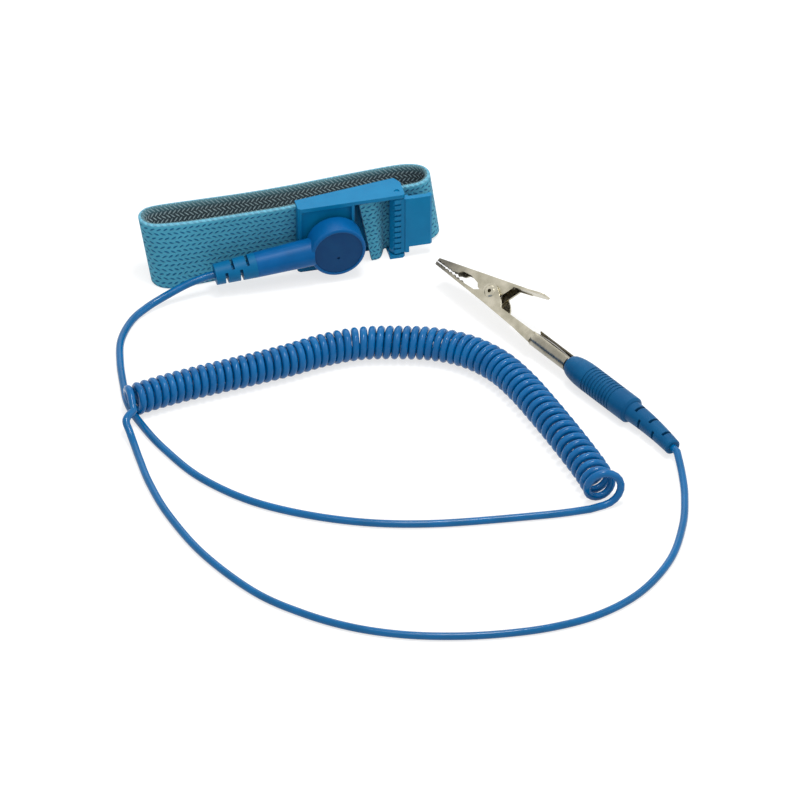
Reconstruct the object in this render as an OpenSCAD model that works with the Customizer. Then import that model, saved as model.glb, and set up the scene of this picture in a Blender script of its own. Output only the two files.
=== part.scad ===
// ESD wrist strap: an elastic wristband with a clamp buckle, a snap connector that holds the
// current limiting resistor, a coiled ground lead, and a banana plug with a crocodile clip.
// X runs along the wristband, the buckle's outer face looks along -Y, and +Z is up.
// The origin is on the table, under the middle of the wristband. Millimetres and degrees.

/* [Elastic band] */
// Width of the band
band_w = 21.5; // [17:0.5:22]
// Thickness of the band
band_t = 1.6; // [1.2:0.1:1.8]
// Length of the closed loop, outside
loop_l = 88.5; // [84:0.5:110]
// Sideways lean of the band's top edge at the loop's ends
band_lean = 3.2; // [0:0.2:4]
// Backward tilt of the band's top edge at the loop's far end
band_tilt = 3.4; // [0:0.2:3.6]
// How far the band's far end sags from the buckle, down to the table at most
band_sag = 0.75; // [0:0.05:1.2]

/* [Buckle] */
// Length of the buckle body
buckle_l = 32.5; // [31:0.5:36]
// Height of the buckle body as it stands on its edge
buckle_h = 23; // [22.5:0.5:27]
// Thickness of the body at its fixed end
buckle_t1 = 4.9; // [4.6:0.1:5.6]
// Thickness of the body at its clamp end
buckle_t2 = 9; // [8.6:0.1:10]
// Width of the moulded rail above and below the window
rail_w = 1.2; // [1:0.1:2.4]
// Length of the window that shows the band
window_l = 10.8; // [8:0.2:11]
// Thickness of the steel skin plate
plate_t = 0.5; // [0.3:0.1:0.8]

/* [Clamp lever] */
// Radius of the lever's ribbed cam bar
cam_r = 2.2; // [1.8:0.1:2.3]
// Diameter of the lever's pivot pin
pin_d = 1.5; // [1:0.1:1.8]
// Reach of the thumb flap from the pivot pin
flap_reach = 10.2; // [8:0.2:12]
// Thickness of the thumb flap
flap_t = 1.6; // [1.2:0.1:2]

/* [Snap] */
// Distance of the snap stud from the buckle's fixed end
stud_x = 10.5; // [9.5:0.1:11.5]
// Height of the snap stud above the table
stud_z = 10.8; // [10:0.2:12.4]
// Diameter of the stud's ball
ball_d = 4; // [3.8:0.1:4.2]
// Diameter of the stud's neck
neck_d = 3; // [2.6:0.1:3.2]
// Diameter of the snap connector's head
head_d = 16.8; // [15.4:0.2:17]
// Thickness of the snap connector's head
head_t = 7; // [6.6:0.1:8]
// Droop of the connector's boot below level, about the stud
boot_droop = 6.4; // [0:0.2:8]
// Distance from the stud to the end of the boot's rigid tube
boot_l = 24.5; // [23.5:0.5:28]
// Length of the snap end's strain relief
snap_relief_l = 12.5; // [12:0.5:16]

/* [Ground lead] */
// Diameter of the cord
cord_d = 2.3; // [1.9:0.1:2.3]
// Whole turns in the coiled part
coil_turns = 59; // [40:1:59]
// Mean diameter of the coil's turns at its left end
coil_d = 7.4; // [6.4:0.2:7.6]
// How much wider the turns are at the coil's right end
coil_flare = 0.9; // [0:0.1:1]

/* [Banana plug] */
// Length of the plug's moulded boot
plug_boot_l = 28.5; // [26:0.5:32]
// Diameter of the plug's moulded boot
plug_boot_d = 8.3; // [7.6:0.1:8.4]
// Length of the plug's strain relief
plug_relief_l = 20.5; // [15:0.5:22]
// Length of the bare plug pin
plug_pin_l = 17; // [15:0.5:19]
// Diameter of the plug's solid core
plug_core_d = 2.6; // [2.2:0.1:2.8]
// Outside diameter of the plug's bowed leaf springs
plug_spring_d = 4; // [3.8:0.1:4.1]

/* [Crocodile clip] */
// Length of the clip from its teeth to the end of its ferrule
clip_l = 60; // [56:1:64]
// Distance of the jaw's pivot from the tip
pivot_at = 23; // [22:0.5:24.5]
// Width of the lower jaw across its ears
jaw_w = 6.6; // [6.4:0.2:8]
// Thickness of the jaws' sheet steel
sheet_t = 0.6; // [0.4:0.05:0.7]
// Diameter of the pivot rivet's shank
rivet_d = 2.4; // [2:0.1:2.6]
// Wire diameter of the jaw spring
spring_wire = 0.7; // [0.5:0.05:0.8]
// Turns of the jaw spring
spring_turns = 2; // [1:1:2]

/* [Hidden] */
$fn = 48;
run_gap = 0.05;      // radial running clearance of a pin in its hole
soft_gap = 0.3;      // clearance between pieces of different bodies

// ---- wristband layout ----
face_y = -4.22;                               // plane of the buckle's outer face
buckle_x1 = loop_l / 2 - 11.25;               // clamp end of the buckle body
buckle_x0 = buckle_x1 - buckle_l;             // fixed end of the buckle body
back_slope = (buckle_t2 - buckle_t1) / (buckle_l - 1.5);
function back_depth(x) = buckle_t1 + (x - buckle_x0) * back_slope;
band_z = (buckle_h - band_w) / 2;             // bottom edge of the band inside the buckle
stud_at = buckle_x0 + stud_x;
pin_x = buckle_x1 - 2;                        // lever pivot, near the clamp end
pin_depth = cam_r + 0.3;
clamp_depth = pin_depth + cam_r + 0.1 + band_t / 2;   // middle of the band under the cam
window_x1 = pin_x - cam_r - 0.4;
window_x0 = window_x1 - window_l;
pocket_x1 = window_x0 - 3;                    // end of the pocket for the band's fixed end
passage_depth = clamp_depth - band_t - 0.8;   // front of the passage for the band's free end

// Middle line of the band, seen from above: x, depth behind the buckle's face, lean, sag. The free
// end comes forward through the window and hangs to its lower edge.
x0 = -loop_l / 2;
x1 = loop_l / 2;
fixed_depth = buckle_t1 - 0.1 - band_t / 2;
band_stations = [
    [pocket_x1 - 0.3, fixed_depth + (pocket_x1 - buckle_x0) * back_slope, 0, 0],
    [stud_at, fixed_depth + stud_x * back_slope, 0, 0],
    [buckle_x0, fixed_depth, 0, 0.02],
    [buckle_x0 - 5, 3.5, 0.1, 0.15],
    [x0 + 30, 3.2, 0.3, 0.45],
    [x0 + 16, 2.8, 0.6, 0.8],
    [x0 + 6.5, 3.0, 1, 1],
    [x0 + 2.3, 4.4, 1, 1],
    [x0 + 0.8, 7.5, 1, 1],
    [x0 + 2.1, 10.5, 1, 1],
    [x0 + 6, 12, 1, 1],
    [x0 + 19, 12.2, 1, 0.8],
    [x0 + 33, 12.3, 1, 0.6],
    [x0 + 46, 12.9, 1, 0.45],
    [x1 - 30, 14, 1, 0.3],
    [x1 - 19, 14.9, 1, 0.2],
    [x1 - 10, 15.5, 1, 0.15],
    [x1 - 5.2, 15.2, 0.9, 0.15],
    [x1 - 1.9, 13.7, 0.9, 0.15],
    [x1 - 0.64, 11.1, 0.9, 0.15],
    [x1 - 1.4, 8.4, 0.8, 0.1],
    [x1 - 3.6, 6.5, 0.6, 0.1],
    [x1 - 7, clamp_depth + 0.1, 0.3, 0.05],
    [buckle_x1 - 0.5, clamp_depth, 0, 0],
    [window_x1 + 1, clamp_depth, 0, 0],
    [window_x1 - 1.2, clamp_depth - 0.6, 0, 0.1],
    [window_x0 + 0.65 * window_l, 2.9, 0, 1],
    [window_x0 + 0.45 * window_l, 1.5, 0, 1],
    [window_x0 + 0.23 * window_l, 1.2, 0, 1],
];

// ---- lead layout ----
boot_y = face_y - 3.87;                       // plane of the snap boot's axis
relief_end = boot_l + snap_relief_l;          // along the boot, from the stud
snap_exit = [stud_at - relief_end * cos(boot_droop), boot_y, stud_z - relief_end * sin(boot_droop)];
plug_at = [66.3, -73.4, 5.2];                 // nose of the plug's boot
plug_heading = -63.5;
plug_pitch = 2;
plug_roll = 40;
relief_bend = 9.9;                            // whole bend of the plug's strain relief
relief_parts = 6;                             // of lessening thickness

// Free cord from the snap connector to the coil, on the table where z is half the cord.
cord_z = cord_d / 2;
snap_route = [
    [-34, -8.9, 5.3], [-41, -10.3, 3.2], [-47.5, -12.9, 1.8], [-53.2, -17.4, cord_z],
    [-58.4, -26, cord_z], [-61, -36, cord_z], [-62.6, -47, cord_z], [-63.5, -57, cord_z],
    [-62, -67, cord_z], [-58.2, -80.5, cord_z], [-50.5, -97.5, cord_z], [-36.5, -113.5, cord_z],
    [-15, -126.6, cord_z], [9, -134.1, cord_z], [42, -137.8, cord_z],
];
// Middle line of the coil on the table, from its right end to its left end.
coil_axis_route = [
    [61.6, -137.6], [60.3, -127], [58, -115.3], [55.4, -103], [52.8, -91.7], [49.9, -80.6],
    [45.7, -69.8], [38.9, -60.6], [29.9, -54.5], [19.2, -51], [8.1, -48.9], [-3, -49.6],
    [-14, -51.9], [-27.5, -54], [-41, -55.8], [-51, -57.4], [-60, -59.4], [-64.3, -60.5],
];
// Free cord from the coil to the plug.
clip_route = [
    [-65.9, -69.5, 4.6], [-66.1, -72.8, 2.9], [-66.1, -77, 1.5], [-66.3, -84, cord_z],
    [-66.1, -96, cord_z],
    [-64.2, -112, cord_z], [-58.7, -132.8, cord_z], [-48.5, -153.9, cord_z],
    [-37.2, -167.2, cord_z], [-24.9, -177.1, cord_z], [-11.7, -183.9, cord_z],
    [2.3, -188.2, cord_z], [17, -190.6, cord_z], [32.5, -190.9, cord_z], [47.5, -188, cord_z],
    [61.5, -180.4, cord_z], [73.5, -167.3, cord_z], [81, -152, cord_z],
    [84.8, -139, 1.4], [86.4, -129.4, 2.2],
];

// ---- vector helpers ----
function unit(v) = v / norm(v);
function flat(lists) = [for (part = lists) for (item = part) item];
// Catmull-Rom point between b and c at t from 0 to 1.
function curve_at(a, b, c, d, t) =
    0.5 * (2 * b + (c - a) * t + (2 * a - 5 * b + 4 * c - d) * t * t + (3 * b - a - 3 * c + d) * t * t * t);
// Smooth line through points, with steps points for each stretch.
function smooth(points, steps) =
    let (last = len(points) - 1)
    concat(
        [for (i = [0:last - 1]) for (k = [0:steps - 1])
            curve_at(points[max(i - 1, 0)], points[i], points[i + 1], points[min(i + 2, last)], k / steps)],
        [points[last]]);
function tangent(points, i) =
    unit(points[min(i + 1, len(points) - 1)] - points[max(i - 1, 0)]);
// Closed faces for rings of n points, triangles only.
function ring_faces(rings, n) = concat(
    [for (i = [0:rings - 2]) for (j = [0:n - 1]) let (a = i * n + j, b = i * n + (j + 1) % n) [a, b, b + n]],
    [for (i = [0:rings - 2]) for (j = [0:n - 1]) let (a = i * n + j, b = i * n + (j + 1) % n) [a, b + n, a + n]],
    [for (j = [1:n - 2]) [0, j + 1, j]],
    [for (j = [1:n - 2]) let (e = (rings - 1) * n) [e, e + j, e + j + 1]]);
// Tube of radius r and n sides along points; sides holds a side direction for each point.
module tube(points, sides, r, n) {
    rings = [for (i = [0:len(points) - 1])
        let (t = tangent(points, i), s = unit(sides[i] - t * (sides[i] * t)), u = cross(t, s))
        for (j = [0:n - 1]) points[i] + r * (cos(360 * j / n) * s - sin(360 * j / n) * u)];
    polyhedron(points = rings, faces = ring_faces(len(points), n));
}

// ---- coil geometry ----
coil_rings = 8;                               // rings in each curl
function coil_r(f) = (coil_d + coil_flare * (1 - f)) / 2;   // at a share f of the coil's length
coil_lift = 210;                              // the last turn leaves from the coil's upper front
coil_open = 200;                              // stretch of the last turn that opens into the tail
coil_tail = 330;                              // how much further the open stretch carries
coil_sweep = 360 * coil_turns + coil_lift;
coil_steps = ceil(coil_sweep / 360 * coil_rings);
coil_line = smooth([for (p = coil_axis_route) [p[0], p[1], 0]], 8);
coil_reach = [for (i = 0, s = 0; i < len(coil_line); i = i + 1,
    s = s + (i < len(coil_line) ? norm(coil_line[i] - coil_line[i - 1]) : 0)) s];
coil_len = coil_reach[len(coil_reach) - 1];
// Point of the middle line at a share f of its length.
coil_x = [for (i = [0:len(coil_line) - 1]) [coil_reach[i], coil_line[i][0]]];
coil_y = [for (i = [0:len(coil_line) - 1]) [coil_reach[i], coil_line[i][1]]];
function coil_mid(f) = [lookup(f * coil_len, coil_x), lookup(f * coil_len, coil_y), coil_r(f) + cord_z];
function coil_dir(f) = unit(coil_mid(min(f + 0.01, 1)) - coil_mid(max(f - 0.01, 0)));
function coil_spoke(f, angle) =
    let (t = coil_dir(f)) cos(angle) * [t[1], -t[0], 0] + sin(angle) * [0, 0, 1];
function coil_angle(f) = -90 + coil_sweep * f;
// Share of the middle line that the wire has passed at a share f of its turns.
function coil_share(f) =
    (coil_sweep * f + coil_tail * pow(max(0, 1 - (1 - f) * coil_sweep / coil_open), 2)) / (coil_sweep + coil_tail);
function coil_point(f) = let (m = coil_share(f)) coil_mid(m) + coil_r(m) * coil_spoke(m, coil_angle(f));
coil_points = [for (k = [0:coil_steps]) coil_point(k / coil_steps)];
coil_start_dir = unit(coil_point(0.000001) - coil_point(0));
coil_end_dir = unit(coil_point(1) - coil_point(0.999999));
coil_start = coil_points[0] - cord_d * coil_start_dir;
coil_end = coil_points[coil_steps] + cord_d * coil_end_dir;
coil_path = concat([coil_start], coil_points, [coil_end]);
coil_sides = concat([coil_spoke(0, -90)],
    [for (k = [0:coil_steps]) let (f = k / coil_steps) coil_spoke(coil_share(f), coil_angle(f))],
    [coil_spoke(1, coil_angle(1))]);
coil_gap = min([for (i = [0:coil_steps - coil_rings]) for (k = [coil_rings - 2:coil_rings + 2])
    norm(coil_points[i] - coil_points[min(i + k, coil_steps)])
        + (i + k > coil_steps ? 100 : 0)]) - cord_d;
echo(coil_gap = coil_gap, coil_len = coil_len);

// ---- cord runs ----
snap_dir = [-cos(boot_droop), 0, -sin(boot_droop)];
// Route with a straight start and end of one cord diameter, kept on the table.
function cord_line(from, from_dir, route, to, to_dir) =
    let (middle = smooth(concat([from + cord_d * from_dir], route, [to - cord_d * to_dir]), 2))
    concat([from], [for (p = middle) [p[0], p[1], max(p[2], cord_z)]], [to]);
snap_line = cord_line(snap_exit, snap_dir, snap_route, coil_start, coil_start_dir);

// ---- placing ----
// Along the snap boot: +X of the children runs from the stud towards the cord.
module on_boot() {
    translate([stud_at, boot_y, stud_z]) rotate([0, 180 - boot_droop, 0]) children();
}
// Along the snap stud: +Z of the children points out of the buckle's face.
module on_stud() {
    translate([stud_at, face_y, stud_z]) rotate([90, 0, 0]) children();
}
// Along the plug: +X of the children runs from the boot's nose towards the cord, and +Y is the
// side of the clip's handle.
module on_plug() {
    translate(plug_at) rotate([0, 0, plug_heading]) rotate([0, plug_pitch, 0]) rotate([plug_roll, 0, 0]) children();
}
function turn_x(v, a) = [v[0], v[1] * cos(a) - v[2] * sin(a), v[1] * sin(a) + v[2] * cos(a)];
function turn_y(v, a) = [v[0] * cos(a) + v[2] * sin(a), v[1], -v[0] * sin(a) + v[2] * cos(a)];
function turn_z(v, a) = [v[0] * cos(a) - v[1] * sin(a), v[0] * sin(a) + v[1] * cos(a), v[2]];
function plug_turn(v) = turn_z(turn_y(turn_x(v, plug_roll), plug_pitch), plug_heading);
module lengthwise(x) {
    translate([x, 0, 0]) rotate([0, 90, 0]) children();
}

// ---- wristband ----
module elastic_band() {
    line = smooth(band_stations, 2);
    points = flat([for (i = [0:len(line) - 1])
        let (
            s = line[i],
            t = unit([tangent(line, i)[0], tangent(line, i)[1]]),
            side = band_t / 2 * [t[1], -t[0]],
            low = max(0, band_z - band_sag * s[3]),
            lean = band_lean / 2 * s[2],
            tilt = band_tilt / 2 * min(s[2], s[3])
        )
        [for (c = [[1, 0], [1, 1], [-1, 1], [-1, 0]]) [
            s[0] + c[0] * side[0] + lean * (1 - 2 * c[1]),
            face_y + s[1] + c[0] * side[1] - tilt * (1 - 2 * c[1]),
            low + band_w * c[1]]]]);
    color("#4f9fbe") difference() {
        polyhedron(points = points, faces = ring_faces(len(line), 4));
        translate([stud_at, face_y + 12, stud_z]) rotate([90, 0, 0]) cylinder(d = shank_d + 0.3, h = 12);
    }
}

shank_d = 2.6;        // rivet tube that holds the stud, the body, the band and the plate together
rivet_bore = shank_d - 0.8;
rivet_head_d = 5.2;   // countersunk head, flush with the plate
flange_d = 8.4;       // stud flange on the buckle's face
flange_t = 0.4;
face_recess = 0.8;    // sunk panel round the stud
panel_margin = 1.4;   // panel edge to body edge, above and below
plate_margin = 1.2;   // plate edge to body edge, above and below
plate_x0 = buckle_x0 + 0.8;
plate_x1 = window_x1 - 1;

// Block in the tilted frame of the buckle's back face: x along the body, y out of the back face.
module on_back(x) {
    translate([x, face_y + back_depth(x), 0]) rotate([0, 0, atan(back_slope)]) children();
}

module buckle_body() {
    edge = 0.7;
    color("#1f8fc0") difference() {
        linear_extrude(buckle_h) polygon([
            [buckle_x0 + edge, face_y], [buckle_x1 - edge, face_y], [buckle_x1, face_y + edge],
            [buckle_x1, face_y + buckle_t2 * 0.72], [buckle_x1 - 1.5, face_y + buckle_t2],
            [buckle_x0, face_y + buckle_t1], [buckle_x0, face_y + edge]]);
        // pocket in the back for the band's fixed end
        translate([0, 0, band_z - soft_gap]) linear_extrude(band_w + 2 * soft_gap) polygon([
            [buckle_x0 - 1, face_y + back_depth(buckle_x0) - band_t - 0.5],
            [pocket_x1, face_y + back_depth(pocket_x1) - band_t - 0.4],
            [pocket_x1, face_y + back_depth(pocket_x1) + 0.2],
            [buckle_x0 - 1, face_y + buckle_t1 + 0.2]]);
        // passage for the band's free end, between the clamp bar and its anvil
        translate([0, 0, band_z - soft_gap]) linear_extrude(band_w + 2 * soft_gap) polygon([
            [window_x0 - 2.2, face_y + passage_depth],
            [buckle_x1 + 1, face_y + passage_depth],
            [buckle_x1 + 1, face_y + clamp_depth + band_t / 2 + 0.1],
            [window_x1 - 1, face_y + clamp_depth + band_t / 2 + 0.1],
            [window_x0 - 2.2, face_y + clamp_depth + 0.3]]);
        // window, open at the bottom where the band's free end hangs through it
        translate([window_x0, face_y - 1, -1]) cube([window_l, clamp_depth + 1, rail_w + 2]);
        // window, and past it the gap between the ears for the lever
        translate([window_x0, face_y - 1, rail_w])
            cube([buckle_x1 - window_x0 + 1, passage_depth + 1.5, buckle_h - 2 * rail_w]);
        // bore for the lever pin
        translate([pin_x, face_y + pin_depth, 0.5]) cylinder(d = pin_d, h = buckle_h);
        // recessed panel and bore for the snap stud
        translate([buckle_x0 + 1.1, face_y - 1, panel_margin])
            cube([window_x0 - buckle_x0 - 2, 1 + face_recess, buckle_h - 2 * panel_margin]);
        on_stud() translate([0, 0, -buckle_t2]) cylinder(d = shank_d, h = buckle_t2);
    }
}

module skin_contact_plate() {
    length = (plate_x1 - plate_x0) / cos(atan(back_slope));
    color("#c9ccd0") difference() {
        on_back(plate_x0) hull() for (x = [1.5, length - 1.5], z = [plate_margin + 1.5, buckle_h - plate_margin - 1.5])
            translate([x, 0, z]) rotate([-90, 0, 0]) cylinder(r = 1.5, h = plate_t);
        // countersunk hole for the rivet's flush head
        on_back(stud_at) translate([0, -plate_t, stud_z]) rotate([-90, 0, 0])
            cylinder(d1 = rivet_head_d + 2 * run_gap - 4 * plate_t, d2 = rivet_head_d + 2 * run_gap + 2 * plate_t,
                h = 3 * plate_t);
    }
}

module snap_stud() {
    panel = -face_recess;
    depth = back_depth(stud_at) + panel - 0.2;
    color("#b9bcc0") on_stud() difference() {
        union() {
            translate([0, 0, panel]) cylinder(d = flange_d, h = flange_t);
            translate([0, 0, panel]) cylinder(d = neck_d, h = 2.3 - panel);
            translate([0, 0, 1.9]) rotate_extrude() polygon(concat([[0, 0]],
                [for (a = [-60:15:45]) [ball_d / 2 - 0.6 + 0.6 * cos(a), 0.9 + 0.9 * sin(a)]], [[0, 1.8]]));
            translate([0, 0, panel - depth + flange_t]) cylinder(d = shank_d, h = depth);
        }
        translate([0, 0, panel - depth]) cylinder(d = rivet_bore, h = depth + 0.6);
    }
}

module stud_rivet() {
    color("#b0b3b8") union() {
        on_back(stud_at) translate([0, 2 * run_gap, stud_z]) rotate([-90, 0, 0])
            cylinder(d1 = rivet_head_d - 2 * plate_t, d2 = rivet_head_d - 2 * run_gap, h = plate_t - 3 * run_gap);
        on_stud() translate([0, 0, -back_depth(stud_at) - plate_t + 3 * run_gap]) cylinder(d = rivet_bore, h = 4);
    }
}

// ---- clamp lever: +X of the flap points to the loop's end when it is shut ----
module clamp_lever() {
    bar_h = buckle_h - 2 * (rail_w + soft_gap);
    flap_z = [2.2, bar_h - 0.25];   // the flap is shorter than the bar, mostly at its lower edge
    teeth = 10;
    pitch = bar_h / teeth;
    bevel = [1, 1.9];    // of the bar's front corner, so that it turns clear of the band
    rib_end = 0.6;       // ribs and flap are parted by a shallow groove
    groove = [1.4, 0.3];
    color("#2493c4") translate([pin_x, face_y + pin_depth, rail_w + soft_gap]) difference() {
        union() {
            cylinder(r = cam_r, h = bar_h);
            translate([0, -pin_depth, 0.2]) cube([cam_r + 1, flap_t + 0.6, bar_h - 0.4]);
            translate([0, -pin_depth, flap_z[0]]) linear_extrude(flap_z[1] - flap_z[0]) polygon([
                [0, 0], [flap_reach - 0.6, 0], [flap_reach, 0.5], [flap_reach, flap_t],
                [flap_reach - 0.7, flap_t + 0.5], [flap_reach - 1.4, flap_t], [0, flap_t]]);
            translate([0, 0, 0.2]) linear_extrude(bar_h - 0.4) polygon([
                [-cam_r, 0], [-cam_r, bevel[1] - pin_depth], [bevel[0] - cam_r, -pin_depth], [0, -pin_depth], [0, 0]]);
        }
        translate([0, 0, -1]) cylinder(d = pin_d + 2 * run_gap, h = bar_h + 2);
        for (k = [0:teeth - 2])
            translate([-cam_r - 1, -pin_depth - 1, pitch * (k + 1) - 0.35]) cube([cam_r + 1.2 + rib_end, 1.6, 0.7]);
        translate([rib_end, -pin_depth - 1, -1]) cube([groove[0], 1 + groove[1], bar_h + 2]);
    }
}

module lever_pivot_pin() {
    color("#9fa3a8") translate([pin_x, face_y + pin_depth, 0.5]) cylinder(d = pin_d, h = buckle_h - 0.8);
}

// ---- snap connector: +Z of the stud frame points out of the buckle ----
gap_back = 0.4;
tube_r1 = 4.3;        // boot tube at the head
tube_r2 = 3.8;        // boot tube at its end, clear of the lever when the boot is turned
relief_r2 = 3.2;      // strain relief at the cord
neck_len = 4;
neck_r = 2.1;
resistor_d = 2.4;
resistor_l = 6.3;
lead_d = 0.6;
crimp_d = 2;
crimp_l = 4;
resistor_at = 9;      // start of the resistor's body along the boot
crimp_at = resistor_at + resistor_l + 1.6;
cap_rim = 1.1;        // width of the head's rim round the cover
cap_d = head_d - 2 * cap_rim;
cap_t = 0.8;
cup_d = 7.6;
socket_flange_d = 10;
inner_r = 1.45;       // channel for the cord and the resistor

module snap_head_housing() {
    r = head_d / 2;
    round_r = 0.8;       // of the head's outer edge
    tube_from = 4.5;     // start of the boot's tube, inside the head
    color("#1b5fa6") difference() {
        union() {
            on_stud() translate([0, 0, gap_back]) rotate_extrude($fn = 72) polygon(concat(
                [[0, 0], [r - 0.6, 0], [r - 0.15, 0.25], [r, 0.8]],
                [for (a = [0:15:90]) [r - round_r + round_r * cos(a), head_t - round_r + round_r * sin(a)]],
                [[0, head_t]]));
            on_boot() lengthwise(tube_from) cylinder(r1 = tube_r1, r2 = tube_r2, h = boot_l - tube_from);
        }
        // seat and cup for the socket
        on_stud() translate([0, 0, gap_back - 0.6]) cylinder(d = socket_flange_d + 0.1, h = 1.2);
        on_stud() translate([0, 0, gap_back - 0.6]) cylinder(d = cup_d + 0.4, h = head_t - 1.2);
        // seat for the cover, and the flat that keeps the tube clear of the buckle
        on_stud() translate([0, 0, gap_back + head_t - 1]) cylinder(d = cap_d, h = 5);
        on_stud() translate([-60, -60, -30]) cube([120, 120, 30 + gap_back]);
        // channel for the resistor and the cord
        on_boot() lengthwise(0) cylinder(r = inner_r, h = boot_l + 1);
        on_boot() lengthwise(boot_l - neck_len - 0.2) cylinder(r = neck_r, h = neck_len + 1);
    }
}

module snap_head_cover() {
    color("#1d4f8a") on_stud() difference() {
        translate([0, 0, gap_back + head_t - 1]) cylinder(d = cap_d, h = cap_t);
        rotate([0, 0, -90]) translate([2.1, 0, gap_back + head_t - 1 + cap_t - 0.4]) cylinder(d = 0.9, h = 1);
    }
}

module snap_socket() {
    color("#c4c6c9") union() {
        on_stud() difference() {
            union() {
                translate([0, 0, gap_back]) cylinder(d = socket_flange_d, h = 0.5);
                translate([0, 0, gap_back]) cylinder(d = cup_d, h = 4.4);
            }
            translate([0, 0, gap_back - 1]) cylinder(d = ball_d + 0.6, h = 2);
            translate([0, 0, gap_back + 0.6]) cylinder(d = cup_d - 1, h = 3.3);
        }
        // tab that the resistor's lead is welded to
        on_boot() translate([cup_d / 2 - 0.3, -lead_d / 2 - 0.42, -1]) cube([1.8, 0.4, 2]);
    }
}

module snap_spring_ring() {
    wire = 0.5;
    inner = neck_d / 2 + 0.2;
    color("#8f9499") on_stud() translate([0, 0, gap_back + 1]) difference() {
        rotate_extrude() translate([inner + wire / 2, 0]) circle(d = wire, $fn = 24);
        translate([0, -0.3, -1]) cube([inner + 2, 0.6, 2]);
    }
}

module limiting_resistor() {
    tab = cup_d / 2 + 0.7;
    color("#c8a878") on_boot() union() {
        lengthwise(resistor_at + 0.5) cylinder(d = resistor_d - 0.4, h = resistor_l - 1);
        for (x = [resistor_at, resistor_at + resistor_l - 1.5]) lengthwise(x) cylinder(d = resistor_d, h = 1.5);
        lengthwise(tab) cylinder(d = lead_d, h = resistor_at - tab + 0.3);
        lengthwise(resistor_at + resistor_l - 0.3) cylinder(d = lead_d, h = 3.2);
    }
}

module resistor_crimp() {
    color("#b8894a") on_boot() lengthwise(crimp_at) difference() {
        cylinder(d = crimp_d, h = crimp_l);
        translate([0, 0, -1]) cylinder(d = lead_d + 0.4, h = crimp_l + 2);
    }
}

// Length of cord held in a housing: jacket, and the bared conductor in front of it.
module cord_end(from, to, bare) {
    lengthwise(from) cylinder(d = cord_d, h = to - from);
    lengthwise(from - bare) cylinder(d = lead_d + 0.4, h = bare + 0.5);
}

module snap_cord_end() {
    color("#0f66b4") on_boot() cord_end(crimp_at + crimp_l + 0.2, relief_end, 2);
}

// Tapered sleeve with staggered cuts from both sides, down to a core round the cord.
slot_w = 0.9;
slot_wall = cord_d / 2 + 0.35;
slot_turn = 36;       // turn of the cuts from the vertical
module strain_relief(length, r1, r2, cuts) {
    difference() {
        cylinder(r1 = r1, r2 = r2, h = length);
        translate([0, 0, -1]) cylinder(d = cord_d, h = length + 2);
        difference() {
            for (k = [0:len(cuts) - 1]) rotate([0, 0, slot_turn + 180 * (k % 2)])
                translate([0.3, -r1 - 1, cuts[k] - slot_w / 2]) cube([r1 + 1, 2 * r1 + 2, slot_w]);
            translate([0, 0, -1]) cylinder(r = slot_wall, h = length + 2);
        }
    }
}

module snap_strain_relief() {
    color("#1b5fa6") on_boot() union() {
        lengthwise(boot_l) strain_relief(snap_relief_l, tube_r2, relief_r2,
            [for (k = [0:3]) snap_relief_l * (0.21 + 0.18 * k)]);
        lengthwise(boot_l - neck_len) difference() {
            cylinder(r = neck_r, h = neck_len + 0.2);
            translate([0, 0, -1]) cylinder(d = cord_d, h = neck_len + 3);
        }
    }
}

// ---- free cord ----
up = [0, 0, 1];
module cord_run(line) {
    color("#0f66b4") tube(line, [for (p = line) up], cord_d / 2, 8);
}
module cord_to_snap() {
    cord_run(snap_line);
}
module coiled_cord() {
    color("#0f66b4") tube(coil_path, coil_sides, cord_d / 2, 6);
}
module cord_to_clip() {
    cord_run(cord_line(coil_end, coil_end_dir, clip_route,
        plug_at + plug_turn(relief_tip), -plug_turn(relief_tip_dir)));
}

// ---- plug boot and its strain relief, along +X of the plug frame ----
relief_r = [3.2, 2.35];
relief_step = relief_bend / relief_parts;
lap = 0.2;                                    // degrees by which joined arcs overlap
squeeze = 0.04;
bend_r = plug_relief_l / (relief_bend * PI / 180);
// The strain relief bends level with the table, so the bend is undone from the roll.
relief_tip = [plug_boot_l, 0, 0] + turn_x(bend_r * [sin(relief_bend), cos(relief_bend) - 1, 0], -plug_roll);
relief_tip_dir = turn_x([cos(relief_bend), -sin(relief_bend), 0], -plug_roll);
module on_bend(angle) {
    on_plug() translate([plug_boot_l, 0, 0]) rotate([-plug_roll, 0, 0]) translate([0, -bend_r, 0])
        rotate([0, 0, 90 - angle]) children();
}
module bent_rod(from, angle, r) {
    on_bend(from + angle) rotate_extrude(angle = angle, $fn = 720) translate([bend_r, 0]) circle(r, $fn = 36);
}

module clip_strain_relief() {
    r = relief_r[0];
    color("#1b5fa6") difference() {
        union() {
            on_plug() lengthwise(plug_boot_l - neck_len) cylinder(r = neck_r, h = neck_len + 1);
            for (n = [0:relief_parts - 1])
                bent_rod(n * relief_step, relief_step + (n < relief_parts - 1 ? lap : 0),
                    r + (relief_r[1] - r) * (n + 0.5) / relief_parts);
        }
        // staggered cuts from both sides
        for (n = [1:relief_parts - 1]) on_bend(n * relief_step)
            translate([n % 2 == 0 ? bend_r + slot_wall : bend_r - slot_wall - r, -slot_w / 2, -r])
                cube([r, slot_w, 2 * r]);
        on_plug() lengthwise(plug_boot_l - neck_len - 1) cylinder(d = cord_d, h = neck_len + 1.5);
        bent_rod(-lap, relief_bend + 2 * lap, cord_d / 2 + squeeze);
    }
}

module plug_cord_end() {
    color("#0f66b4") union() {
        on_plug() cord_end(terminal_at + terminal_l, plug_boot_l, 2);
        bent_rod(-lap, relief_bend + lap, cord_d / 2 - squeeze);
    }
}

terminal_at = 9;
terminal_l = 7;
collar_d = 5;
nose_d = 4.7;
nose_l = 8.5;

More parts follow.
